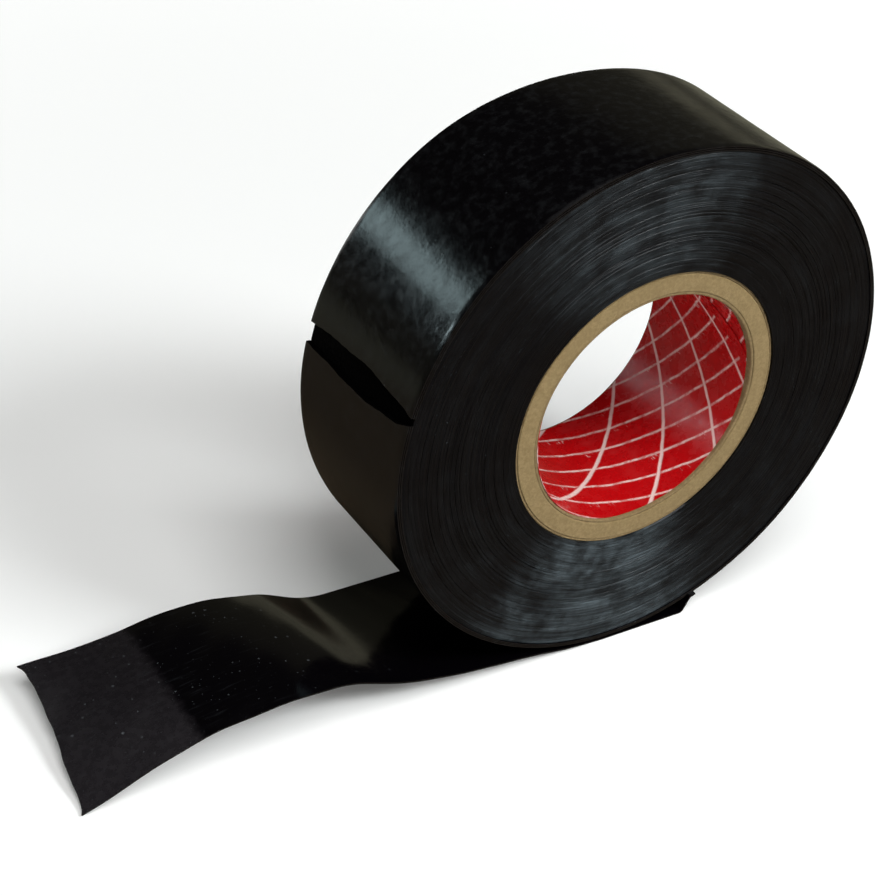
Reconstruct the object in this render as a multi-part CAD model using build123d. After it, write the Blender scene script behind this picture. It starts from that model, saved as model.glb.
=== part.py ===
"""Roll of black electrical tape standing on its edge, with its loose end lying out to one side.

Frame: origin at the middle of the core's bore, +Y along the roll's axis towards its back face, +Z up.
The front face is at -Y. The strip leaves the roll underneath and runs out towards -X. Millimetres.
"""
from build123d import *
import math
import os

# The strip: PVC film with its adhesive coat on the side that faces the core
TAPE_WIDTH = 19.0
FILM_THICKNESS = 0.14
ADHESIVE_THICKNESS = 0.04
TAPE_THICKNESS = FILM_THICKNESS + ADHESIVE_THICKNESS

# The roll and its paperboard core
ROLL_RADIUS = 28.5
CORE_OUTER_RADIUS = 15.4
BORE_RADIUS = 12.7
CORE_FRONT_SETBACK = 0.25
CORE_BACK_SETBACK = 2.0

# The core's layers, from the bore outwards
LINER_THICKNESS = 0.10
INNER_PLY_THICKNESS = 0.35
OUTER_PLY_THICKNESS = 0.30

# The cut across the outermost wraps: its place is the angle above the horizontal on the -X side
CUT_WRAPS = 3
CUT_ANGLE = 14.2
CUT_REACH = 2.0

# Stations across the strip, front face first: (y, lower lip, upper lip), the lips measured up from that place
CUT_LIPS = [
    (-9.5, -0.45, 0.25),
    (-7.0, -1.3, 0.67),
    (-1.5, -2.1, 1.0),
    (2.0, -2.15, 0.85),
    (6.0, -2.1, 0.5),
    (9.5, -2.15, 0.1),
]

# The loose end: it comes loose from the underside of the roll, drops to the floor and runs out
UNDER_ROLL_GAP = 0.07
FLOOR_RADIUS = ROLL_RADIUS + UNDER_ROLL_GAP + TAPE_THICKNESS
START_X = 10.6
LEAVE_X = 9.9
LANDING_X = 9.0
LEAVE_BEND_RADIUS = 0.3
LANDING_BEND_RADIUS = 0.6
TAIL_YAW = -1.26
BEND_X = -20.0
BEND_GAP = 0.3
TAIL_REACH = 70.0

# How far each edge of the strip lies flat, then (x, height of its underside over the floor)
FRONT_FLAT_TO = -1.0
FRONT_EDGE = [
    (-5.5, 0.3),
    (-10.0, 0.95),
    (-15.0, 1.45),
    (-20.0, 2.05),
    (-26.0, 3.4),
    (-31.0, 5.1),
    (-37.0, 5.9),
    (-44.0, 5.2),
    (-51.0, 3.5),
    (-59.2, 0.0),
]
BACK_FLAT_TO = -12.0
BACK_EDGE = [
    (-15.0, 0.0),
    (-18.0, 0.0),
    (-21.0, 0.0),
    (-24.0, 0.05),
    (-27.5, 0.5),
    (-33.0, 2.9),
    (-39.0, 4.0),
    (-45.0, 3.9),
    (-51.0, 3.1),
    (-58.0, 2.8),
]


def ring(inner_radius, outer_radius, front_setback=0.0, back_setback=0.0):
    """A tube about the roll's axis, with its ends set back from the strip's edges."""
    section = Circle(outer_radius) - Circle(inner_radius)
    length = TAPE_WIDTH - front_setback - back_setback
    tube = Rot(90, 0, 0) * extrude(section, length / 2, both=True)
    return Pos(0, (front_setback - back_setback) / 2, 0) * tube


def core_parts():
    """The paperboard tube as its glued plies, and the printed liner in its bore."""
    liner_outer = BORE_RADIUS + LINER_THICKNESS
    inner_ply_outer = liner_outer + INNER_PLY_THICKNESS
    board_outer = CORE_OUTER_RADIUS - OUTER_PLY_THICKNESS
    setbacks = (CORE_FRONT_SETBACK, CORE_BACK_SETBACK)
    return {
        "core_liner": ring(BORE_RADIUS, liner_outer, *setbacks),
        "core_inner_ply": ring(liner_outer, inner_ply_outer, *setbacks),
        "core_board": ring(inner_ply_outer, board_outer, *setbacks),
        "core_outer_ply": ring(board_outer, CORE_OUTER_RADIUS, *setbacks),
    }


def cut_gap():
    """The space of the cut: a slot across the strip that is widest in its middle and closes at the front face."""
    overrun = 1.0
    front, *middle, back = CUT_LIPS
    stations = [(front[0] - overrun, *front[1:]), *middle, (back[0] + overrun, *back[1:])]
    lower = [(-y, low) for y, low, high in stations]
    upper = [(-y, high) for y, low, high in stations]
    outline = Polyline(lower + upper[::-1], close=True)
    angle = math.radians(CUT_ANGLE)
    outward = Vector(-math.cos(angle), 0, math.sin(angle))
    plane = Plane(origin=outward * (ROLL_RADIUS - CUT_REACH), x_dir=(0, -1, 0), z_dir=outward)
    return extrude(plane * make_face(outline), 2 * CUT_REACH)


def tape_parts():
    """The wound strip: the sound wraps as one ring, and the cut wraps over it, which the cut leaves open."""
    sound_radius = ROLL_RADIUS - CUT_WRAPS * TAPE_THICKNESS
    parts = {"wound_tape": ring(CORE_OUTER_RADIUS, sound_radius)}
    gap = cut_gap()
    for wrap in range(CUT_WRAPS):
        inner = sound_radius + wrap * TAPE_THICKNESS
        parts[f"cut_wrap_{wrap + 1}"] = ring(inner, inner + TAPE_THICKNESS) - gap
    return parts


def edge_curve(rise, flat_to, edge):
    """One line of the strip's edge, at a rise over its underside: off the roll and flat, then its free run."""

    def under_roll(x):
        return (x, rise - math.sqrt(FLOOR_RADIUS**2 - x**2))

    floor = rise - FLOOR_RADIUS
    flat = FilletPolyline(
        under_roll(START_X),
        under_roll(LEAVE_X),
        (LANDING_X, floor),
        (flat_to, floor),
        radius=[LEAVE_BEND_RADIUS, LANDING_BEND_RADIUS],
    )
    run_points = [(flat_to, floor)] + [(x, height + floor) for x, height in edge]
    last = Vector(*run_points[-1]) - Vector(*run_points[-2])
    run = Spline(run_points, tangents=[(-1, 0), (last.X, last.Y)])
    return flat, run


def edge_face(y, low, high, flat_to, edge):
    """The strip's side at y, between two rises over its underside."""
    low_flat, low_run = edge_curve(low, flat_to, edge)
    high_flat, high_run = edge_curve(high, flat_to, edge)
    start = Line(low_flat @ 0, high_flat @ 0)
    end = Line(low_run @ 1, high_run @ 1)
    plane = Plane(origin=(0, y, 0), x_dir=(1, 0, 0), z_dir=(0, -1, 0))
    return plane * make_face([low_flat, low_run, end, high_run, high_flat, start])


def strip_layer(low, high):
    """One layer of the loose strip, between two rises over its underside."""
    front = edge_face(-TAPE_WIDTH / 2, low, high, FRONT_FLAT_TO, FRONT_EDGE)
    back = edge_face(TAPE_WIDTH / 2, low, high, BACK_FLAT_TO, BACK_EDGE)
    return loft([front, back], ruled=True)


def beyond_bend():
    """The space on the loose side of the bend line."""
    side = TAIL_REACH
    return Pos(BEND_X - side / 2, 0, -ROLL_RADIUS) * Box(side, 2 * TAPE_WIDTH, ROLL_RADIUS)


def tail_parts():
    """The loose strip in two lengths, one either side of the bend line, each with its film and adhesive."""
    parts = {}
    layers = {"film": (0, FILM_THICKNESS), "adhesive": (FILM_THICKNESS, TAPE_THICKNESS)}
    free_side = beyond_bend()
    for layer, (low, high) in layers.items():
        strip = strip_layer(low, high)
        parts[f"tail_root_{layer}"] = strip - Pos(BEND_GAP / 2, 0, 0) * free_side
        parts[f"tail_end_{layer}"] = strip & (Pos(-BEND_GAP / 2, 0, 0) * free_side)
    return {name: Rot(0, 0, TAIL_YAW) * solid for name, solid in parts.items()}


def main():
    os.makedirs("parts", exist_ok=True)
    for name, solid in {**core_parts(), **tape_parts(), **tail_parts()}.items():
        export_step(solid, f"parts/{name}.step")


main()
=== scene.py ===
import math

import bpy
import numpy as np
from mathutils import Matrix, Vector


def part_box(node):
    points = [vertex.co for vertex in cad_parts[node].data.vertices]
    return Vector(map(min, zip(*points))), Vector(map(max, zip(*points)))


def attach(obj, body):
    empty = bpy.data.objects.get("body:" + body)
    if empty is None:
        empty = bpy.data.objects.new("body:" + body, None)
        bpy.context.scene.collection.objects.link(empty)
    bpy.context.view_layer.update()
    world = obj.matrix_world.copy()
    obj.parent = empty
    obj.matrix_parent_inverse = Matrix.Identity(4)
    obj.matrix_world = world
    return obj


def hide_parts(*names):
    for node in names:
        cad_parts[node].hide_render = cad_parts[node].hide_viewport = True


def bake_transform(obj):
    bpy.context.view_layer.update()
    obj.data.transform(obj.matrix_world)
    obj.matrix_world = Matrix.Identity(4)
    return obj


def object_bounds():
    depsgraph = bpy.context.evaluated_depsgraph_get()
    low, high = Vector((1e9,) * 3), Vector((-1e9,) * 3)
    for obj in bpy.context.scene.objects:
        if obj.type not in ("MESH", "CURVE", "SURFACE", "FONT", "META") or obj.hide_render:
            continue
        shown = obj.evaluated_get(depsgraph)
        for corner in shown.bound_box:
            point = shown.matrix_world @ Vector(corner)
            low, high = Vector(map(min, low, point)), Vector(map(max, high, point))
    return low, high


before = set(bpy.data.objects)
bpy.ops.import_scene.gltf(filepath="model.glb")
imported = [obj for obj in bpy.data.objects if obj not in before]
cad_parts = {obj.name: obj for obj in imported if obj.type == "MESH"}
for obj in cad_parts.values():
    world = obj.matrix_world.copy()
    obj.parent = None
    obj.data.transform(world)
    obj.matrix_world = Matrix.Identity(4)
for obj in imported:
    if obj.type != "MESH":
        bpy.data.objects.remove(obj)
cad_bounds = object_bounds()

MM = 0.001
TURN = 2 * math.pi

# ------------------------------------------------------- sizes, read from the frame, in millimetres


def outer_radius(node):
    low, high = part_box(node)
    return (high.z - low.z) / 2 / MM


ROLL_RADIUS = outer_radius("cut_wrap_3")
WRAP_RADII = [outer_radius(n) for n in ("wound_tape", "cut_wrap_1", "cut_wrap_2", "cut_wrap_3")]
CORE_RADIUS = outer_radius("core_outer_ply")
BOARD_RADIUS = outer_radius("core_board")
INNER_PLY_RADIUS = outer_radius("core_inner_ply")
LINER_RADIUS = outer_radius("core_liner")
HALF_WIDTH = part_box("wound_tape")[1].y / MM
CORE_FRONT, CORE_BACK = (corner.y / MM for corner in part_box("core_board"))
FLOOR = cad_bounds[0].z / MM
FLOOR_RADIUS = -FLOOR

# Thicknesses, as in the CAD
FILM = 0.14
ADHESIVE = 0.04
TAPE = FILM + ADHESIVE
LINER = 0.10

# The cut across the outer wraps, as in the CAD: (y, lower lip, upper lip), measured up from its angle
CUT_ANGLE = math.radians(14.2)
CUT_LIPS = np.array([
    (-9.5, -0.45, 0.25), (-7.0, -1.3, 0.67), (-1.5, -2.1, 1.0),
    (2.0, -2.15, 0.85), (6.0, -2.1, 0.5), (9.5, -2.15, 0.1),
])

# The loose end, as in the CAD: it starts under the roll, leaves it and drops to the floor. Points on it are
# (x, height of the underside over the floor)
START_X, LEAVE_X = 10.6, 9.9
DROP = [(9.74, 1.35), (9.38, 0.62), (9.02, 0.12)]
FLAT_FROM = 8.55
TAIL_YAW = math.radians(-1.26)
# Each edge lies flat up to its own place, then comes its free run
FRONT_FLAT_TO = -1.0
FRONT_EDGE = [
    (-5.5, 0.3), (-10.0, 0.95), (-15.0, 1.45), (-20.0, 2.05), (-26.0, 3.4),
    (-31.0, 5.1), (-37.0, 5.9), (-44.0, 5.2), (-51.0, 3.5), (-59.2, 0.0),
]
BACK_FLAT_TO = -12.0
BACK_EDGE = [
    (-15.0, 0.0), (-18.0, 0.0), (-21.0, 0.0), (-24.0, 0.05), (-27.5, 0.5),
    (-33.0, 2.9), (-39.0, 4.0), (-45.0, 3.9), (-51.0, 3.1), (-58.0, 2.8),
]

# ------------------------------------------------------- meshes


def add_mesh(name, points, faces, material, uv=None, sharp_angle=40):
    """A mesh object from points in millimetres, smooth but for edges sharper than sharp_angle."""
    mesh = bpy.data.meshes.new(name)
    mesh.from_pydata((np.asarray(points, float).reshape(-1, 3) * MM).tolist(), [], faces)
    if uv is not None:
        layer = mesh.uv_layers.new(name="strip")
        corner_points = np.zeros(len(mesh.loops), int)
        mesh.loops.foreach_get("vertex_index", corner_points)
        layer.data.foreach_set("uv", np.asarray(uv, float)[corner_points].reshape(-1))
    mesh.polygons.foreach_set("use_smooth", [True] * len(mesh.polygons))
    mesh.set_sharp_from_angle(angle=math.radians(sharp_angle))
    mesh.materials.append(material)
    mesh.update()
    piece = bpy.data.objects.new(name, mesh)
    bpy.context.scene.collection.objects.link(piece)
    return piece


def grid_faces(rows, columns, closed_rows=False, closed_columns=False, first=0):
    """Quads of a grid of points stored row by row."""
    i, j = np.meshgrid(
        np.arange(rows if closed_rows else rows - 1),
        np.arange(columns if closed_columns else columns - 1),
        indexing="ij",
    )
    below, beside = (i + 1) % rows, (j + 1) % columns
    quads = np.stack(
        [i * columns + j, i * columns + beside, below * columns + beside, below * columns + j], -1
    )
    return (quads.reshape(-1, 4) + first).tolist()


def slab(name, upper, lower, material, uv=None):
    """A closed sheet between two grids of points: upper, lower and the four edges that join them."""
    rows, columns = upper.shape[:2]
    count = rows * columns
    faces = grid_faces(rows, columns)
    faces += [[a + count for a in reversed(f)] for f in grid_faces(rows, columns)]
    index = np.arange(count).reshape(rows, columns)
    rim = np.concatenate([index[0, :-1], index[:-1, -1], index[-1, :0:-1], index[:0:-1, 0]])
    after = np.roll(rim, -1)
    faces += np.stack([after, rim, rim + count, after + count], -1).tolist()
    points = np.concatenate([upper.reshape(-1, 3), lower.reshape(-1, 3)])
    both_uv = None if uv is None else np.concatenate([uv.reshape(-1, 2)] * 2)
    return add_mesh(name, points, faces, material, both_uv)


def paint(piece, material, faces):
    """Gives some faces of a piece a second material."""
    piece.data.materials.append(material)
    for face in faces:
        piece.data.polygons[face].material_index = 1


def rise(value, start, end):
    """0 at start and before it, 1 at end and past it, and straight between them."""
    return np.clip((value - start) / (end - start), 0, 1)


def around(radius, angle, y):
    """Points at a radius and an angle about the roll's axis, measured from +X towards +Z."""
    radius, angle, y = np.broadcast_arrays(radius, angle, y)
    return np.stack([radius * np.cos(angle), y, radius * np.sin(angle)], -1)


def ripple(angle, rng, orders, height):
    """A smooth closed wave round the roll: a few orders of cosine with random phases."""
    total = np.zeros_like(angle)
    for order in orders:
        total = total + rng.normal() * np.cos(order * angle + rng.uniform(0, TURN))
    return height * total / math.sqrt(len(orders))


def smooth_steps(rng, count, reach, height):
    """Random offsets for count wraps, each like its neighbours within reach."""
    raw = rng.normal(size=count + 4 * reach)
    window = np.hanning(2 * reach + 1)
    smooth = np.convolve(raw, window / np.sqrt((window**2).sum()), mode="same")
    return height * smooth[2 * reach : 2 * reach + count]


def smooth_line(points, count):
    """count points along a Catmull-Rom curve through the given points, evenly spaced by point number."""
    points = np.asarray(points, float)
    padded = np.vstack([2 * points[0] - points[1], points, 2 * points[-1] - points[-2]])
    place = np.linspace(0, len(points) - 1 - 1e-9, count)
    k = place.astype(int)
    t = (place - k)[:, None]
    a, b, c, d = (padded[k + n] for n in range(4))
    return b + 0.5 * t * (c - a + t * (2 * a - 5 * b + 4 * c - d + t * (3 * (b - c) + d - a)))


# ------------------------------------------------------- materials

# The UV map of a strip gives its point in units of this many millimetres
STRIP_UNIT = 100.0


class Nodes:
    """A node tree: short calls to add nodes and to join them."""

    def __init__(self, tree):
        self.tree = tree

    def node(self, kind, inputs=None, **settings):
        made = self.tree.nodes.new("ShaderNode" + kind)
        for key, value in settings.items():
            setattr(made, key, value)
        for socket, value in (inputs or {}).items():
            self.put(value, made.inputs[socket])
        return made

    def put(self, value, socket):
        if isinstance(value, bpy.types.NodeSocket):
            self.tree.links.new(value, socket)
        else:
            socket.default_value = value

    def math(self, operation, a, b=0.0, c=0.0):
        return self.node("Math", {0: a, 1: b, 2: c}, operation=operation).outputs[0]

    def times(self, product, *factors):
        """The product of several values."""
        for factor in factors:
            product = self.math("MULTIPLY", product, factor)
        return product

    def plus(self, total, *terms):
        """The sum of several values."""
        for term in terms:
            total = self.math("ADD", total, term)
        return total

    def vector(self, operation, a, b=None):
        """A vector calculation with the point a, and with the vector or the scale b."""
        inputs = {0: a}
        if b is not None:
            inputs["Scale" if operation == "SCALE" else 1] = b
        return self.node("VectorMath", inputs, operation=operation).outputs

    def parts(self, point):
        """The x, y and z of a point."""
        return self.node("SeparateXYZ", {0: point}).outputs

    def point(self, x, y, z):
        return self.node("CombineXYZ", {0: x, 1: y, 2: z}).outputs[0]

    def ramp(self, value, low, high, to_low=0.0, to_high=1.0):
        """value from low to high becomes to_low to to_high, smoothly and clamped."""
        inputs = {"Value": value, "From Min": low, "From Max": high, "To Min": to_low, "To Max": to_high}
        return self.node("MapRange", inputs, interpolation_type="SMOOTHSTEP").outputs["Result"]


class Look(Nodes):
    """A procedural material, with its surface in a Principled shader."""

    def __init__(self, name, color, roughness, **settings):
        self.material = bpy.data.materials.new(name)
        self.material.use_nodes = True
        super().__init__(self.material.node_tree)
        self.shader = self.tree.nodes["Principled BSDF"]
        self.shader.inputs["Base Color"].default_value = (*color, 1)
        self.shader.inputs["Roughness"].default_value = roughness
        for socket, value in settings.items():
            self.shader.inputs[socket.replace("_", " ")].default_value = value

    def place(self):
        """The point on the piece, in millimetres."""
        coordinate = self.node("TexCoord").outputs["Object"]
        return self.vector("SCALE", coordinate, 1 / MM)[0]

    def strip(self):
        """The point on the unrolled strip, in millimetres, and its parts along and across the strip."""
        uv = self.node("UVMap", uv_map="strip").outputs[0]
        point = self.vector("SCALE", uv, STRIP_UNIT)[0]
        along, across, _ = self.parts(point)
        return point, along, across

    def stretch(self, point, scale):
        return self.vector("MULTIPLY", point, scale)[0]

    def mix(self, factor, a, b):
        """The colour a where factor is 0, and b where it is 1."""
        return self.node("Mix", {"Factor": factor, 6: a, 7: b}, data_type="RGBA").outputs[2]

    def noise(self, point, scale, detail=3.0, roughness=0.5, distortion=0.0):
        inputs = {
            "Vector": point, "Scale": scale, "Detail": detail,
            "Roughness": roughness, "Distortion": distortion,
        }
        return self.node("TexNoise", inputs).outputs["Fac"]

    def specks(self, point, scale, share, size):
        """Small soft dots of varied strength, in a share of the cells of a scale. Their size is in cells."""
        cells = self.node("TexVoronoi", {"Vector": point, "Scale": scale}).outputs
        near = self.ramp(cells["Distance"], size * 0.2, size, 1.0, 0.0)
        picks = self.node("SeparateColor", {0: cells["Color"]}).outputs
        picked = self.math("LESS_THAN", picks[0], share)
        strength = self.ramp(picks[1], 0.0, 1.0, 0.3, 1.0)
        return self.times(near, picked, strength)

    def bump(self, height, distance, strength=1.0, under=None):
        """The normal of a height map, a distance in millimetres high, over the normal under it."""
        inputs = {"Height": height, "Distance": distance * MM, "Strength": strength}
        if under is not None:
            inputs["Normal"] = under
        return self.node("Bump", inputs).outputs[0]

    def finish(self, color=None, roughness=None, normal=None):
        for name, value in (("Base Color", color), ("Roughness", roughness), ("Normal", normal)):
            if value is not None:
                self.put(value, self.shader.inputs[name])
        return self.material


def shade(color, share=1.0):
    """A colour at a share of its brightness, with the alpha that a node's socket takes."""
    return (*(channel * share for channel in color), 1)


GLOSS_IOR = 1.5
BLACK = (0.0011, 0.0008, 0.0014)
# Painted shade: the darker black of the wrap under the cut and of the cut's ends
PAINTED_CUT_SHADE = (0.0004, 0.0003, 0.0004)
DUST = shade((0.19, 0.21, 0.225))
# The side's pale grey: for its dust specks, and for the sheen painted onto it
EDGE_DUST_AND_SHEEN = shade((0.165, 0.21, 0.235))
HANDLED = shade((0.20, 0.172, 0.195))


def film_look():
    """The smooth back of the PVC film: glossy black, finely mottled, with orange peel and a little dust."""
    look = Look("tape_film", BLACK, 0.3, IOR=GLOSS_IOR)
    place = look.place()
    swell = look.noise(place, 0.45, 3.0, 0.55)
    mottle = look.noise(place, 1.1, 3.0, 0.55)
    grain = look.noise(place, 1.6, 3.0, 0.6)
    ribs = look.noise(look.stretch(place, (0.25, 3.2, 0.25)), 1.0, 3.0, 0.6)
    fine = look.noise(place, 7.0, 2.0)
    dust = look.times(look.specks(place, 0.8, 0.16, 0.10), 0.25)
    haze = look.ramp(mottle, 0.42, 0.85, 0.0, 0.026)
    color = look.mix(look.plus(dust, haze), shade(BLACK), DUST)
    roughness = look.plus(
        look.ramp(swell, 0.25, 0.75, 0.11, 0.17),
        look.ramp(fine, 0.3, 0.8, 0.0, 0.04),
        look.ramp(mottle, 0.40, 0.75, 0.0, 0.07),
    )
    bulges = look.bump(swell, 0.06, 0.45)
    peel = look.bump(look.plus(grain, look.times(ribs, 0.5)), 0.02, 0.35, bulges)
    normal = look.bump(fine, 0.004, 0.5, peel)
    return look.finish(color, roughness, normal)


def painted_cut_shade_look():
    """The wrap under the cut and the cut's ends: painted shade, a dull black darker than the film, nearly
    without reflection.
    """
    look = Look("tape_in_the_cut_painted_shade", PAINTED_CUT_SHADE, 0.8, Specular_IOR_Level=0.02)
    grain = look.noise(look.place(), 3.0, 3.0, 0.6)
    return look.finish(None, look.ramp(grain, 0.3, 0.7, 0.65, 0.9), look.bump(grain, 0.03, 0.5))


# The sheen painted into the colour of the roll's side, a painted reflection, lies along a line through the
# axis, nearly upright: how much the way up, and the way to +X, count towards it
SHEEN_UP, SHEEN_ASIDE = 0.98, -0.17


def wound_edge_look():
    """The side of the roll: film edges in streaks that follow the wraps, with dust and a painted grey sheen.
    """
    look = Look("tape_wound_edges", BLACK, 0.42, IOR=GLOSS_IOR, Specular_IOR_Level=0.20)
    place = look.place()
    x, _, z = look.parts(place)
    radius = look.math("SQRT", look.plus(look.times(x, x), look.times(z, z)))
    heading = look.vector("NORMALIZE", look.point(x, z, 0.0))[0]
    aside, up, _ = look.parts(heading)

    def along_wraps(turns, across):
        """The point, drawn out along the wraps: changes in a radian, and in a millimetre of radius."""
        return look.point(look.times(aside, turns), look.times(up, turns), look.times(radius, across))

    bands = look.noise(along_wraps(1.2, 0.55), 1.0, 2.0, 0.5)
    streaks = look.noise(along_wraps(3.0, 2.4), 1.0, 4.0, 0.62, 0.3)
    hairs = look.noise(along_wraps(7.0, 9.0), 1.0, 3.0, 0.6)
    blotch = look.noise(place, 0.38, 4.0, 0.65)
    grain = look.noise(place, 6.0, 3.0, 0.6)
    dust = look.specks(place, 1.1, 0.20, 0.10)
    fine_dust = look.specks(place, 2.9, 0.16, 0.16)
    # Painted sheen: pale colour above and below the core, leaning a little to -X, and stronger below
    steep = look.times(look.math("ABSOLUTE", up), SHEEN_UP)
    in_line = look.math("MULTIPLY_ADD", aside, SHEEN_ASIDE, steep)
    sheen = look.times(
        look.ramp(look.times(in_line, in_line), 0.62, 0.98, 0.08, 1.0),
        look.ramp(blotch, 0.3, 0.7, 0.20, 1.1),
        look.ramp(up, -0.9, 0.0, 2.5, 1.0),
    )
    # The painted sheen, broken up into streaks, hairs and bands
    haze = look.times(
        sheen,
        look.ramp(streaks, 0.35, 0.75, 0.45, 1.0),
        look.ramp(hairs, 0.3, 0.7, 0.55, 1.0),
        look.ramp(bands, 0.35, 0.65, 0.14, 0.27),
    )
    dots = look.times(look.math("MAXIMUM", dust, fine_dust), look.ramp(blotch, 0.4, 0.7, 0.08, 0.5))
    # The colour: the painted sheen and the dust specks, in pale grey over the black
    color = look.mix(look.plus(haze, dots), shade(BLACK), EDGE_DUST_AND_SHEEN)
    roughness = look.plus(look.ramp(streaks, 0.3, 0.75, 0.30, 0.46), look.ramp(grain, 0.3, 0.8, 0.0, 0.08))
    ridges = look.bump(streaks, 0.16, 0.9)
    fine_ridges = look.bump(hairs, 0.03, 0.8, ridges)
    normal = look.bump(grain, 0.012, 0.5, fine_ridges)
    return look.finish(color, roughness, normal)


# Along the loose strip, in millimetres: where dust starts and is thickest, and where the dull end starts
DUST_FROM, DUST_FULL = 28.0, 64.0
DULL_FROM, DULL_FULL = 59.6, 61.2


def adhesive_look():
    """The sticky side: glossy near the roll, dusty further out, and dull at its handled end."""
    look = Look("tape_adhesive", BLACK, 0.3, IOR=GLOSS_IOR)
    point, along, across = look.strip()
    outwards = look.ramp(along, DUST_FROM, DUST_FULL)
    grain = look.noise(point, 1.2, 4.0, 0.6)
    patches = look.noise(point, 0.22, 2.0, 0.5)
    drag = look.noise(look.stretch(point, (0.25, 2.2, 1.0)), 1.0, 3.0, 0.6)
    fine = look.noise(point, 8.0, 2.0)
    dust = look.specks(point, 0.72, 0.40, 0.15)
    small_dust = look.specks(point, 1.25, 0.34, 0.15)
    fine_dust = look.times(look.specks(point, 2.6, 0.22, 0.18), 0.7)
    handled = look.ramp(look.math("MULTIPLY_ADD", grain, 1.2, along), DULL_FROM, DULL_FULL)
    haze = look.times(
        handled,
        look.ramp(across, 0.0, 11.0, 0.062, 0.038),
        look.ramp(grain, 0.3, 0.8, 0.75, 1.2),
    )
    dots = look.math("MAXIMUM", look.math("MAXIMUM", dust, small_dust), fine_dust)
    spread = look.times(
        look.ramp(outwards, 0.05, 0.6, 0.05, 0.38),
        look.ramp(patches, 0.35, 0.65, 0.5, 1.0),
    )
    streaks = look.times(look.ramp(drag, 0.55, 0.8, 0.0, 0.03), look.ramp(outwards, 0.45, 0.9))
    base = look.mix(haze, shade(BLACK), HANDLED)
    color = look.mix(look.math("MULTIPLY_ADD", dots, spread, streaks), base, DUST)
    roughness = look.plus(look.ramp(handled, 0.0, 1.0, 0.10, 0.26), look.ramp(grain, 0.35, 0.75, 0.0, 0.05))
    normal = look.bump(fine, 0.01, 0.3, look.bump(grain, 0.02, 0.3))
    return look.finish(color, roughness, normal)


BOARD_COLOR, BOARD_PALE = (0.225, 0.155, 0.067), (0.27, 0.195, 0.093)
PLY_COLOR, PLY_PALE = (0.185, 0.125, 0.055), (0.245, 0.175, 0.085)
DARK_FLECK = shade((0.03, 0.02, 0.012))


def board_look(name, color, pale):
    """Kraft paperboard: softly matted fibres, a few pale and dark flecks, and a fine grain."""
    look = Look(name, color, 0.85, Specular_IOR_Level=0.25)
    place = look.place()
    matted = look.noise(place, 3.2, 5.0, 0.65, 0.5)
    fibres = look.noise(look.stretch(place, (1.0, 4.0, 1.0)), 6.0, 4.0, 0.7, 1.2)
    blotch = look.noise(place, 0.45, 2.0)
    flecks = look.specks(place, 1.7, 0.10, 0.11)
    dark_flecks = look.specks(look.stretch(place, (1.0, 1.0, 0.5)), 1.6, 0.05, 0.12)
    base = look.mix(look.ramp(matted, 0.3, 0.75), shade(color, 0.88), shade(pale))
    toned = look.mix(look.ramp(blotch, 0.35, 0.7, 0.0, 0.22), base, shade(color, 0.72))
    streaked = look.mix(look.ramp(fibres, 0.55, 0.78, 0.0, 0.22), toned, shade(color, 0.66))
    flecked = look.mix(look.times(flecks, 0.35), streaked, shade(pale))
    spotted = look.mix(look.times(dark_flecks, 0.7), flecked, DARK_FLECK)
    normal = look.bump(fibres, 0.025, 0.5, look.bump(matted, 0.05, 0.6))
    return look.finish(spotted, None, normal)


LINER_RED = (0.43, 0.002, 0.004)
LINER_FADE = shade((0.62, 0.10, 0.10))
LINER_WHITE = shade((0.78, 0.62, 0.58))
# The printed net: two families of lines on the unrolled liner, in millimetres
STEEP_SLOPE, STEEP_BEND, STEEP_PITCH, STEEP_OFFSET, STEEP_WIDTH = -0.72, -6.86, 9.0, 1.3, 0.50
SHALLOW_SLOPE, SHALLOW_BEND, SHALLOW_PITCH, SHALLOW_OFFSET, SHALLOW_WIDTH = 0.28, 5.7, 3.0, -0.2, 0.30
# Where the strip's slanting ends lie, counted across the steep lines, and the unprinted margin beside them
SEAM_PHASE = -11.6
SEAM_MARGIN = 2.0
MARGIN_SOFTNESS = 0.1
# Scuffs show just beside the shallow lines
SCUFF_ASIDE, SCUFF_WIDTH = 0.35, 0.8


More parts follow.
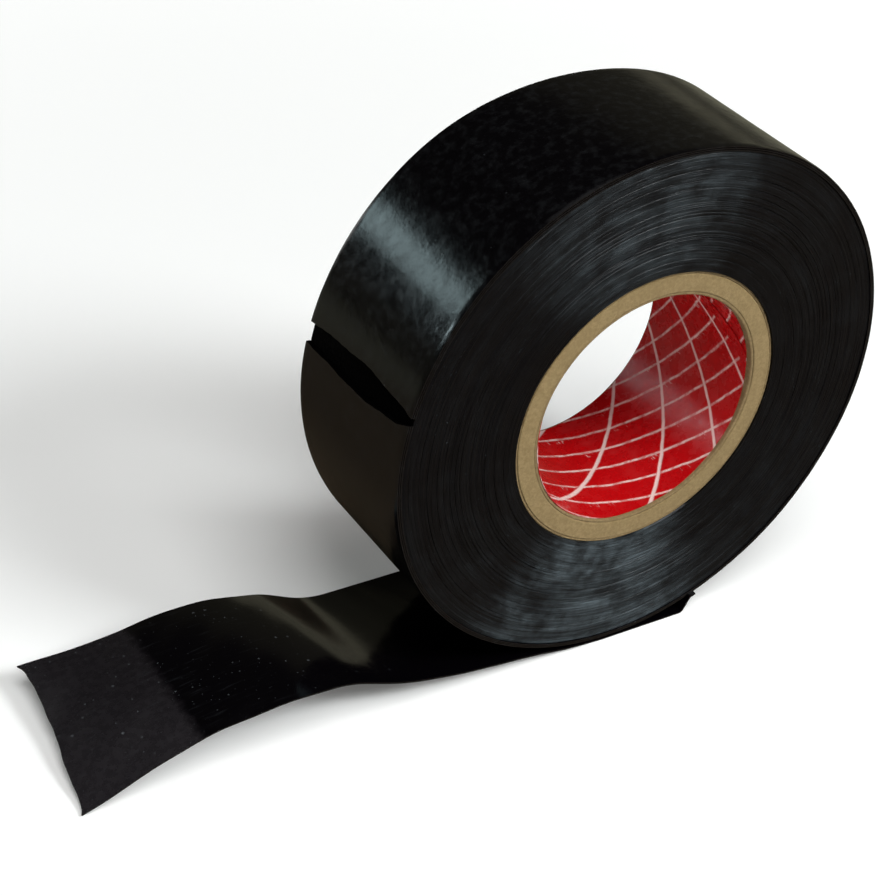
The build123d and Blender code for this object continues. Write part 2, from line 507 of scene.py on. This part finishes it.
def liner_look():
    """Glossy red print with a net of thin pale lines, broken and scuffed in places, and a plain margin."""
    look = Look("liner_print", LINER_RED, 0.3, IOR=GLOSS_IOR, Specular_IOR_Level=0.4)
    point, along, across = look.strip()
    sine = look.math("SINE", look.math("DIVIDE", along, LINER_RADIUS - LINER))
    wander = look.times(look.math("SUBTRACT", look.noise(point, 0.5, 2.0), 0.5), 0.35)

    def phase(slope, bend):
        """How far the point is across a family of lines, in millimetres."""
        level = look.math("MULTIPLY_ADD", along, slope, across)
        return look.plus(look.math("MULTIPLY_ADD", sine, bend, level), wander)

    def lines(value, pitch, offset, width, soft):
        """1 on the lines of a family and 0 between them, with soft borders."""
        shifted = look.math("SUBTRACT", value, offset)
        distance = look.math("ABSOLUTE", look.math("WRAP", shifted, pitch / 2, -pitch / 2))
        return look.ramp(distance, width / 2 - soft, width / 2 + soft, 1.0, 0.0)

    steep_phase = phase(STEEP_SLOPE, STEEP_BEND)
    shallow_phase = phase(SHALLOW_SLOPE, SHALLOW_BEND)
    steep = lines(steep_phase, STEEP_PITCH, STEEP_OFFSET, STEEP_WIDTH, 0.12)
    shallow = lines(shallow_phase, SHALLOW_PITCH, SHALLOW_OFFSET, SHALLOW_WIDTH, 0.10)
    worn = look.ramp(look.noise(point, 0.9, 4.0, 0.7), 0.38, 0.58, 0.35, 1.0)
    ticks = look.noise(look.stretch(point, (5.0, 0.8, 1.0)), 1.0, 2.0)
    scuffs = look.times(
        lines(shallow_phase, SHALLOW_PITCH, SHALLOW_OFFSET - SCUFF_ASIDE, SCUFF_WIDTH, 0.15),
        look.ramp(ticks, 0.60, 0.68),
        look.ramp(look.noise(point, 0.35, 2.0), 0.52, 0.62),
        0.7,
    )
    net = look.math("MAXIMUM", look.math("MAXIMUM", steep, look.times(shallow, worn)), scuffs)
    margin = SEAM_PHASE + SEAM_MARGIN
    net = look.times(net, look.ramp(steep_phase, margin - MARGIN_SOFTNESS, margin + MARGIN_SOFTNESS))
    mottle = look.noise(point, 0.6, 4.0, 0.6)
    hairs = look.specks(look.stretch(point, (1.2, 0.12, 1.0)), 1.0, 0.25, 0.05)
    faded = look.plus(look.ramp(mottle, 0.5, 0.8, 0.0, 0.10), look.times(hairs, 0.18))
    base = look.mix(faded, shade(LINER_RED), LINER_FADE)
    color = look.mix(look.times(net, 0.9), base, LINER_WHITE)
    roughness = look.ramp(mottle, 0.3, 0.7, 0.20, 0.34)
    normal = look.bump(look.plus(mottle, look.times(net, 0.8)), 0.04, 0.8)
    return look.finish(color, roughness, normal)


FILM_LOOK = film_look()
EDGE_LOOK = wound_edge_look()
PAINTED_CUT_SHADE_LOOK = painted_cut_shade_look()
ADHESIVE_LOOK = adhesive_look()
BOARD_LOOK = board_look("kraft_board", BOARD_COLOR, BOARD_PALE)
PLY_LOOK = board_look("kraft_ply", PLY_COLOR, PLY_PALE)
LINER_LOOK = liner_look()

# ------------------------------------------------------- the wound roll

WRAPS = round((WRAP_RADII[0] - CORE_RADIUS) / TAPE)
WOUND_SEGMENTS = 232

# How far the wraps' edges sit back from the strip's full width: all of them, then how that differs slowly
# and quickly from wrap to wrap, in waves that neighbours share, and in waves of a wrap's own
EDGE_DEPTH = 0.05
SLOW_DRIFT, SLOW_REACH = 0.022, 5
QUICK_DRIFT, QUICK_REACH = 0.010, 1
SHARED_WAVE = 0.012
OWN_WAVE = 0.012
# The side rounds off at the outermost wraps and beside the core: how deep, and at which share of the wraps
OUTER_ROUNDING, OUTER_FROM = 0.10, 0.93
CORE_ROUNDING, CORE_TO = 0.05, 0.04
OUTER_CORNER = 0.2
# The grooves between wraps, a few of them deep
GROOVE, DEEP_GROOVE, DEEP_SHARE = 0.013, 0.06, 0.10
# Where the flat of a wrap's edge starts and ends, as shares of its thickness, and how far it slopes
FLAT_FROM_SHARE, FLAT_TO_SHARE, FLAT_SLOPE = 0.28, 0.78, 0.006

# The roll's top has sagged: between these angles and outside this radius, by this much at the back face
SAG_FROM, SAG_TO = math.radians(52), math.radians(128)
SAG_RADIUS = 24.0
SAG_DEPTH = 0.62
SAG_FRONT_SHARE = 0.25


def settled(points):
    """points on the roll, with its top flattened a little, and most at the back face."""
    x, y, z = points[..., 0], points[..., 1], points[..., 2]
    radius = np.hypot(x, z)
    place = rise(np.arctan2(z, x), SAG_FROM, SAG_TO)
    back = SAG_FRONT_SHARE + (1 - SAG_FRONT_SHARE) * rise(y, -HALF_WIDTH, HALF_WIDTH)
    outer = rise(radius, SAG_RADIUS, ROLL_RADIUS) ** 2
    factor = 1 - SAG_DEPTH * np.sin(math.pi * place) ** 2 * back * outer / radius
    return np.stack([x * factor, y, z * factor], -1)


def wound_face(rng, angle, side):
    """Rows of points over one side of the sound wraps, from the core outwards: three rows to each wrap."""
    pitch = (WRAP_RADII[0] - CORE_RADIUS) / WRAPS
    drift = smooth_steps(rng, WRAPS, SLOW_REACH, SLOW_DRIFT)
    drift = drift + smooth_steps(rng, WRAPS, QUICK_REACH, QUICK_DRIFT)
    shared = [ripple(angle, rng, (1, 2, 3, 5), 1.0) for _ in range(6)]
    rows = []
    for wrap in range(WRAPS):
        inner = CORE_RADIUS + wrap * pitch
        out = wrap / (WRAPS - 1)
        blend = out * (len(shared) - 1)
        k = min(int(blend), len(shared) - 2)
        slow = shared[k] * (1 - blend + k) + shared[k + 1] * (blend - k)
        own = ripple(angle, rng, (2, 4, 7, 11), OWN_WAVE)
        rounding = OUTER_ROUNDING * rise(out, OUTER_FROM, 1) ** 2 + CORE_ROUNDING * rise(out, CORE_TO, 0)
        depth = EDGE_DEPTH + drift[wrap] + SHARED_WAVE * slow + own + rounding
        groove = DEEP_GROOVE if rng.uniform() < DEEP_SHARE else GROOVE
        groove = groove * (1 + ripple(angle, rng, (2, 3, 6, 10), 0.5))
        flat_from, flat_to = inner + FLAT_FROM_SHARE * pitch, inner + FLAT_TO_SHARE * pitch
        rows.append(around(inner, angle, side * (HALF_WIDTH - depth - groove)))
        rows.append(around(flat_from, angle, side * (HALF_WIDTH - depth)))
        rows.append(around(flat_to, angle, side * (HALF_WIDTH - depth - FLAT_SLOPE)))
    rows.append(around(WRAP_RADII[0], angle, side * (HALF_WIDTH - OUTER_CORNER)))
    return rows


def make_wound_tape():
    """The sound wraps: both sides, the outer wall under the cut wraps, and the wall at the core."""
    rng = np.random.default_rng(11)
    angle = np.linspace(0, TURN, WOUND_SEGMENTS, endpoint=False)
    front = wound_face(rng, angle, -1)
    back = wound_face(rng, angle, 1)
    points = settled(np.stack(front + back[::-1]))
    faces = grid_faces(points.shape[0], points.shape[1], closed_rows=True, closed_columns=True)
    piece = add_mesh("wound_tape_visual", points, faces, EDGE_LOOK, sharp_angle=70)
    outer_wall = (len(front) - 1) * WOUND_SEGMENTS
    # The outer wall, seen in the cut, takes the painted shade
    paint(piece, PAINTED_CUT_SHADE_LOOK, range(outer_wall, outer_wall + WOUND_SEGMENTS))
    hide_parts("wound_tape")
    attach(piece, "roll")


# The raggedness of the cut's lips: (lip, height, radians of wave in a millimetre across the strip)
LIP_WAVES = (("lower", 0.05, 1.3), ("upper", 0.06, 0.9), ("lower", 0.02, 3.7), ("upper", 0.02, 4.1))


def cut_lips(y, rng):
    """The angles of the cut's upper and lower lips at y: smooth curves with a little raggedness."""
    station, lower, upper = smooth_line(CUT_LIPS, 61).T
    lips = {"lower": np.interp(y, station, lower), "upper": np.interp(y, station, upper)}
    for lip, height, rate in LIP_WAVES:
        lips[lip] = lips[lip] + height * np.sin(rate * y + rng.uniform(0, 6))
    middle = math.pi - CUT_ANGLE
    return middle - lips["upper"] / ROLL_RADIUS, middle - lips["lower"] / ROLL_RADIUS


# The cut wraps: (number, columns across the strip, segments round the roll), the outermost one the finest
CUT_WRAPS = ((1, 24, 420), (2, 24, 420), (3, 56, 620))
# Each wrap's edges sit back from the strip's full width, and each wrap's more than the last
FIRST_INSET, INSET_STEP = 0.05, 0.03
# Segments crowd together at the cut, and opposite it
CROWDING = 0.8
# How far the outer surface dips in waves, how far it drops at its edges, and the gap under it
DIP, CROSS_DIP, DIP_SHARE = 0.010, 0.006, 0.4
EDGE_DROP, EDGE_DROP_FROM = 0.05, 0.96
UNDER_GAP = 0.004
# How far the wrap's edges wander, in waves and in small bites
EDGE_WAVE, EDGE_BITE = 0.012, 0.03


def make_cut_wrap(number, columns, segments):
    """One cut wrap: an open band that runs from the cut's upper lip round to its lower lip."""
    rng = np.random.default_rng(20)
    across = np.linspace(-1, 1, columns)
    y = across * (HALF_WIDTH - FIRST_INSET - INSET_STEP * (number - 1))
    upper, lower = cut_lips(y, rng)
    share = np.linspace(0, 1, segments)
    spread = share - CROWDING * np.sin(2 * TURN * share) / (2 * TURN)
    angle = upper[None] + (lower - TURN - upper)[None] * spread[:, None]
    sag = ripple(angle, rng, (3, 5, 8, 13, 21), DIP)
    sag = sag + ripple(angle, rng, (7, 17), CROSS_DIP) * np.cos(0.35 * y)
    edge_drop = EDGE_DROP * rise(np.abs(across), EDGE_DROP_FROM, 1) ** 2
    outer = WRAP_RADII[number] + DIP_SHARE * (sag - sag.max()) - edge_drop
    inner = np.full_like(outer, WRAP_RADII[number - 1] + UNDER_GAP)
    wave = ripple(angle, rng, (1, 2, 4, 9), EDGE_WAVE)
    bites = EDGE_BITE * np.abs(ripple(angle, rng, (6, 15, 27, 44), 1.0))
    y_side = y[None] + (wave - bites) * np.abs(across) ** 6
    top = settled(around(outer, angle, y_side))
    bottom = settled(around(inner, angle, y_side))
    piece = slab(f"cut_wrap_{number}_visual", bottom, top, FILM_LOOK)
    first_rim = 2 * (segments - 1) * (columns - 1)
    last_rim = first_rim + (columns - 1) + (segments - 1)
    # The cut wrap's two end faces, at the lips, take the painted shade
    paint(piece, PAINTED_CUT_SHADE_LOOK, [rim + n for rim in (first_rim, last_rim) for n in range(columns - 1)])
    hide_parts(f"cut_wrap_{number}")
    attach(piece, "roll")


# ------------------------------------------------------- the core

CORE_SEGMENTS = 220
CORE_WAVE, CORE_FIBRE = 0.008, 0.004

# The shape of each ring's ends, from the bore outwards: (share of the wall, how far the end sits back)
BOARD_FLAT = [(share, 0.012 * math.sin(9 * share)) for share in np.linspace(0.14, 0.9, 12)]
BOARD_END = [(0.0, 0.10), (0.02, 0.03), (0.08, 0.0), *BOARD_FLAT, (0.95, 0.0), (0.985, 0.03), (1.0, 0.09)]
OUTER_PLY_END = [(0.0, 0.16), (0.15, 0.07), (0.5, 0.03), (0.85, 0.05), (1.0, 0.12)]
INNER_PLY_END = [(0.0, 0.22), (0.1, 0.12), (0.3, 0.07), (0.6, 0.05), (0.85, 0.07), (1.0, 0.12)]


def core_ring(node, inner, outer, material, end_shape, seed):
    """A paper ring with fibrous ends."""
    rng = np.random.default_rng(seed)
    angle = np.linspace(0, TURN, CORE_SEGMENTS, endpoint=False)
    rows = []
    for end, inwards, shape in ((CORE_FRONT, 1, end_shape), (CORE_BACK, -1, end_shape[::-1])):
        for share, back in shape:
            wave = ripple(angle, rng, (2, 5, 9, 14, 23, 37), CORE_WAVE)
            rough = wave + rng.normal(size=CORE_SEGMENTS) * CORE_FIBRE
            radius = inner + share * (outer - inner)
            rows.append(around(radius, angle, end + inwards * (back + np.abs(rough))))
    points = np.stack(rows)
    faces = grid_faces(points.shape[0], CORE_SEGMENTS, closed_rows=True, closed_columns=True)
    piece = add_mesh(f"{node}_visual", points, faces, material, sharp_angle=60)
    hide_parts(node)
    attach(piece, "roll")


def make_core():
    """The paperboard tube: its board between two thin plies."""
    core_ring("core_board", INNER_PLY_RADIUS, BOARD_RADIUS, BOARD_LOOK, BOARD_END, 31)
    core_ring("core_outer_ply", BOARD_RADIUS, CORE_RADIUS, PLY_LOOK, OUTER_PLY_END, 32)
    core_ring("core_inner_ply", LINER_RADIUS, INNER_PLY_RADIUS, PLY_LOOK, INNER_PLY_END, 33)


LINER_ROWS, LINER_COLUMNS = 50, 300
LINER_SHEET = 0.05
SEAM_OVERLAP = 1.6
# How far the liner's edges sit back from the core's ends: in front by turns more and less, and behind
FRONT_SETBACK, FRONT_SWING, FRONT_SWING_ANGLE = 0.42, 0.38, 0.5
BACK_SETBACK = 0.30
RAGGED = 0.05
# The liner's clearance in the ply, how far its overlapping end stands off, and the height of its dents
LINER_CLEARANCE = 0.02
LIFT, LIFT_REACH = 0.085, 1.3
DENT, SMALL_DENT = 0.010, 0.008


def seam_angle(y):
    """The angle of the liner's slanting seam at y: there the steep lines' phase is the seam's."""
    bore = LINER_RADIUS - LINER
    angle = np.full_like(y, 0.7)
    for _ in range(30):
        gap = y + STEEP_SLOPE * bore * angle + STEEP_BEND * np.sin(angle) - SEAM_PHASE
        slope = STEEP_SLOPE * bore + STEEP_BEND * np.cos(angle)
        angle = np.clip(angle - gap / slope, -1.0, 2.4)
    return angle


def make_liner():
    """The printed liner: one turn of a strip with slanting ends that overlap at the seam."""
    rng = np.random.default_rng(41)
    overlap = SEAM_OVERLAP / LINER_RADIUS
    swept = np.linspace(0, 1, LINER_COLUMNS)[None] * (TURN + overlap)
    level = np.linspace(-1, 1, LINER_ROWS)[:, None]
    middle, half = (CORE_FRONT + CORE_BACK) / 2, (CORE_BACK - CORE_FRONT) / 2
    start = seam_angle(middle + level[:, 0] * half)[:, None]
    angle = start + 0.5 * overlap - swept
    ragged = ripple(angle, rng, (1, 2, 3, 5, 9), RAGGED)
    front_setback = FRONT_SETBACK + FRONT_SWING * np.cos(angle - FRONT_SWING_ANGLE) ** 3
    setback = np.where(level < 0, front_setback, BACK_SETBACK) + ragged
    y = middle + level * (half - setback * np.abs(level) ** 8)
    lift = LIFT * rise(swept, LIFT_REACH * overlap, 0) ** 0.5
    dents = ripple(angle, rng, (4, 9, 15), DENT) * np.cos(0.4 * y)
    dents = dents + ripple(angle, rng, (6, 13), SMALL_DENT)
    radius = LINER_RADIUS - LINER_CLEARANCE - lift - np.abs(dents)
    inner = around(radius - LINER_SHEET, angle, y)
    outer = around(radius, angle, y)
    uv = np.stack([(LINER_RADIUS - LINER) * angle, y], -1) / STRIP_UNIT
    piece = slab("core_liner_visual", inner, outer, LINER_LOOK, uv)
    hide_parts("core_liner")
    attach(piece, "roll")


# ------------------------------------------------------- the loose end

TAIL_ROWS, TAIL_COLUMNS = 480, 44
# Where the strip is free to bend: it starts and is complete at these shares of its length
FREE_FROM, FREE_FULL = 0.62, 0.82
CROWN, RIPPLE, DIMPLE = 0.35, 0.10, 0.04
# The cut end: the share of the strip that it pulls along, its waves, and the hooks at its corners
END_FROM = 0.97
TEAR_WAVES = ((0.16, 7, 0.4), (0.05, 19, 2.0), (0.025, 43, 0.0))
BACK_HOOK, BACK_HOOK_FROM = 0.55, 0.93
FRONT_HOOK, FRONT_HOOK_TO = 0.30, 0.05
SIDE_WAVES = ((0.05, 52, 1.0), (0.03, 122, 0.0))


def waves(value, terms):
    """A sum of sines of a value: each term is (height, radians for each unit of it, phase)."""
    return sum(height * np.sin(rate * value + phase) for height, rate, phase in terms)


def edge_line(flat_to, edge, count):
    """One edge of the strip's underside, in its own plane: off the roll, flat, then its free run."""
    under_roll = (START_X, 0.5 * (START_X + LEAVE_X), LEAVE_X + 0.1)
    on_roll = [(x, -math.sqrt(FLOOR_RADIUS**2 - x**2)) for x in under_roll]
    falling = [(x, height + FLOOR) for x, height in DROP]
    flat = [(x, FLOOR) for x in np.linspace(FLAT_FROM, flat_to, 5)]
    free = [(x, height + FLOOR) for x, height in edge]
    return smooth_line(on_roll + falling + flat + free, count)


def tail_surface():
    """The strip's underside: rulings between its two edges, with soft ripples and a ragged cut end."""
    front = edge_line(FRONT_FLAT_TO, FRONT_EDGE, TAIL_ROWS)
    back = edge_line(BACK_FLAT_TO, BACK_EDGE, TAIL_ROWS)
    share = np.linspace(0, 1, TAIL_ROWS)[:, None]
    across = np.linspace(0, 1, TAIL_COLUMNS)[None]
    ruled_x, ruled_height = (front[:, k, None] * (1 - across) + back[:, k, None] * across for k in range(2))
    side = 2 * across - 1
    free = rise(share, FREE_FROM, FREE_FULL)
    crown = CROWN * free * (1 - side**2)
    ripples = RIPPLE * free * np.sin(42 * share + 2.5 * across) * np.cos(5 * across + 14 * share + 1.0)
    dimples = DIMPLE * free * np.sin(94 * share + 9 * across + 0.7) * np.sin(11 * across + 26 * share)
    height = np.maximum(ruled_height + crown + ripples + dimples, FLOOR)
    back_hook = BACK_HOOK * rise(across, BACK_HOOK_FROM, 1) ** 2
    front_hook = FRONT_HOOK * rise(across, FRONT_HOOK_TO, 0) ** 2
    end = rise(share, END_FROM, 1) ** 2
    x = ruled_x - end * (waves(across, TEAR_WAVES) + back_hook + front_hook)
    y = side * HALF_WIDTH + waves(share, SIDE_WAVES) * side**3 * free
    return np.stack([x, y, height], -1)


def turned(points, angle):
    """points turned about the vertical axis."""
    c, s = math.cos(angle), math.sin(angle)
    x, y = points[..., 0], points[..., 1]
    return np.stack([c * x - s * y, s * x + c * y, points[..., 2]], -1)


def make_tail():
    """The loose strip: film below and adhesive above, each one sheet over both lengths of the strip."""
    under = tail_surface()
    steps = np.linalg.norm(np.diff(under, axis=0), axis=2)
    along = np.concatenate([np.zeros((1, TAIL_COLUMNS)), np.cumsum(steps, 0)])
    uv = np.stack([along, under[..., 1] + HALF_WIDTH], -1) / STRIP_UNIT
    normal = np.cross(np.gradient(under, axis=1), np.gradient(under, axis=0))
    normal /= np.linalg.norm(normal, axis=-1, keepdims=True)
    normal *= np.sign(normal[..., 2:])
    bottom, middle, top = (turned(under + up * normal, TAIL_YAW) for up in (0.0, FILM, TAPE))
    sheets = (
        ("film", middle, bottom, FILM_LOOK, "pvc_tape"),
        ("adhesive", top, middle, ADHESIVE_LOOK, "adhesive"),
    )
    for layer, upper, lower, material, slot in sheets:
        piece = slab(f"tail_{layer}_visual", upper, lower, material, uv)
        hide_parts(f"tail_root_{layer}", f"tail_end_{layer}")
        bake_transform(piece)


# ------------------------------------------------------- floor, light and camera

FLOOR_SIZE = 2500
FLOOR_COLOR = (0.90, 0.90, 0.89)
GLOW_COLOR = shade((1.0, 1.0, 0.99))
# What the tape's gloss shows of the floor: in front of the roll, then behind it
MIRRORED_NEAR = shade((0.105, 0.075, 0.042))
MIRRORED_FAR = shade((0.25, 0.235, 0.165))
BEHIND = (0.4, 0.9, 0.0)


def make_floor():
    """A pale floor, dim in the gloss of the tape, that stays pale far from the lights."""
    look = Look("floor", FLOOR_COLOR, 0.75)
    place = look.place()
    path = look.node("LightPath").outputs
    distance = look.vector("LENGTH", place)["Value"]
    behind = look.vector("DOT_PRODUCT", place, BEHIND)["Value"]
    mirrored = look.mix(look.ramp(behind, 25.0, 85.0), MIRRORED_NEAR, MIRRORED_FAR)
    color = look.mix(path["Is Glossy Ray"], shade(FLOOR_COLOR), mirrored)
    glow = look.times(look.ramp(distance, 30.0, 500.0, 0.10, 0.85), path["Is Camera Ray"])
    look.put(GLOW_COLOR, look.shader.inputs["Emission Color"])
    look.put(glow, look.shader.inputs["Emission Strength"])
    look.finish(color, None, look.bump(look.noise(place, 0.8, 4.0), 0.02, 0.2))
    corners = ((-1, -1), (1, -1), (1, 1), (-1, 1))
    points = [(x * FLOOR_SIZE, y * FLOOR_SIZE, FLOOR) for x, y in corners]
    add_mesh("floor", points, [[0, 1, 2, 3]], look.material)


WHITE = (1.0, 1.0, 1.0)
# Soft boxes, in metres: (name, direction from the roll, distance, (width, height), radiance, colour)
LIGHTS = (
    ("key", (-0.59, 0.73, 0.36), 0.60, (0.14, 0.085), 3.6, (0.72, 0.96, 1.0)),
    ("top", (-0.10, -0.45, 1.0), 0.80, (0.45, 0.45), 7.0, WHITE),
    ("main", (0.45, -0.65, 0.62), 0.80, (0.24, 0.24), 27.0, (0.96, 0.99, 1.0)),
    ("front", (-0.75, -0.75, 0.45), 0.90, (0.50, 0.40), 0.8, (1.0, 0.97, 0.92)),
    ("back", (0.0, 0.40, 0.92), 1.00, (0.50, 0.42), 0.25, WHITE),
    ("rear", (-0.35, 0.93, 0.12), 0.90, (0.35, 0.25), 2.0, WHITE),
    ("bore", (-0.75, 0.59, 0.27), 0.55, (0.04, 0.06), 9.0, (0.75, 0.95, 1.0)),
)


def add_light(name, direction, distance, size, radiance, color):
    """A soft box that faces the roll, with the brightness its face shows."""
    light = bpy.data.lights.new(name, "AREA")
    light.shape = "RECTANGLE"
    light.size, light.size_y = size
    light.energy = radiance * math.pi * size[0] * size[1]
    light.color = color
    place = Vector(direction).normalized() * distance
    holder = bpy.data.objects.new(name, light)
    holder.location = place
    holder.rotation_euler = (-place).to_track_quat("-Z", "Y").to_euler()
    bpy.context.scene.collection.objects.link(holder)


ROOM_COLOR = shade((1.0, 0.95, 0.68))
# How bright the room is: its -X side and its +X side, near the horizon and above it, then overhead
WALLS = (0.06, 0.22)
UPPER_WALLS = (0.015, 0.055)
CEILING = 0.012
SEEN_BY_CAMERA = 0.92


def make_world():
    """A dim room with paler walls near the horizon, for reflections and fill, and pale beyond the floor."""
    world = bpy.data.worlds.new("room")
    bpy.context.scene.world = world
    world.use_nodes = True
    nodes = Nodes(world.node_tree)
    x, _, z = nodes.parts(nodes.node("TexCoord").outputs["Generated"])
    walls, upper_walls = (nodes.ramp(x, -0.5, 0.5, *sides) for sides in (WALLS, UPPER_WALLS))
    above = nodes.ramp(z, 0.42, 0.60, upper_walls, CEILING)
    room = nodes.ramp(z, 0.09, 0.15, walls, above)
    camera_ray = nodes.node("LightPath").outputs["Is Camera Ray"]
    background = world.node_tree.nodes["Background"].inputs
    nodes.put(nodes.ramp(camera_ray, 0.0, 1.0, room, SEEN_BY_CAMERA), background["Strength"])
    nodes.put(ROOM_COLOR, background["Color"])


CAMERA_PLACE = Vector((-0.10870, -0.13467, 0.10977))
CAMERA_FORWARD = Vector((0.4605, 0.6750, -0.5764))
CAMERA_UP = Vector((0.2515, 0.5236, 0.8140))
CAMERA_LENS = 81.2


def make_camera():
    camera = bpy.data.cameras.new("camera")
    camera.lens = CAMERA_LENS
    camera.clip_start, camera.clip_end = 0.01, 20
    holder = bpy.data.objects.new("camera", camera)
    forward = CAMERA_FORWARD.normalized()
    right = forward.cross(CAMERA_UP).normalized()
    up = right.cross(forward)
    axes = Matrix((right, up, -forward)).transposed()
    holder.matrix_world = Matrix.Translation(CAMERA_PLACE) @ axes.to_4x4()
    bpy.context.scene.collection.objects.link(holder)
    bpy.context.scene.camera = holder


make_camera()
make_world()
for light in LIGHTS:
    add_light(*light)
make_floor()
make_wound_tape()
for wrap in CUT_WRAPS:
    make_cut_wrap(*wrap)
make_core()
make_liner()
make_tail()
bpy.context.scene.view_settings.view_transform = "Standard"
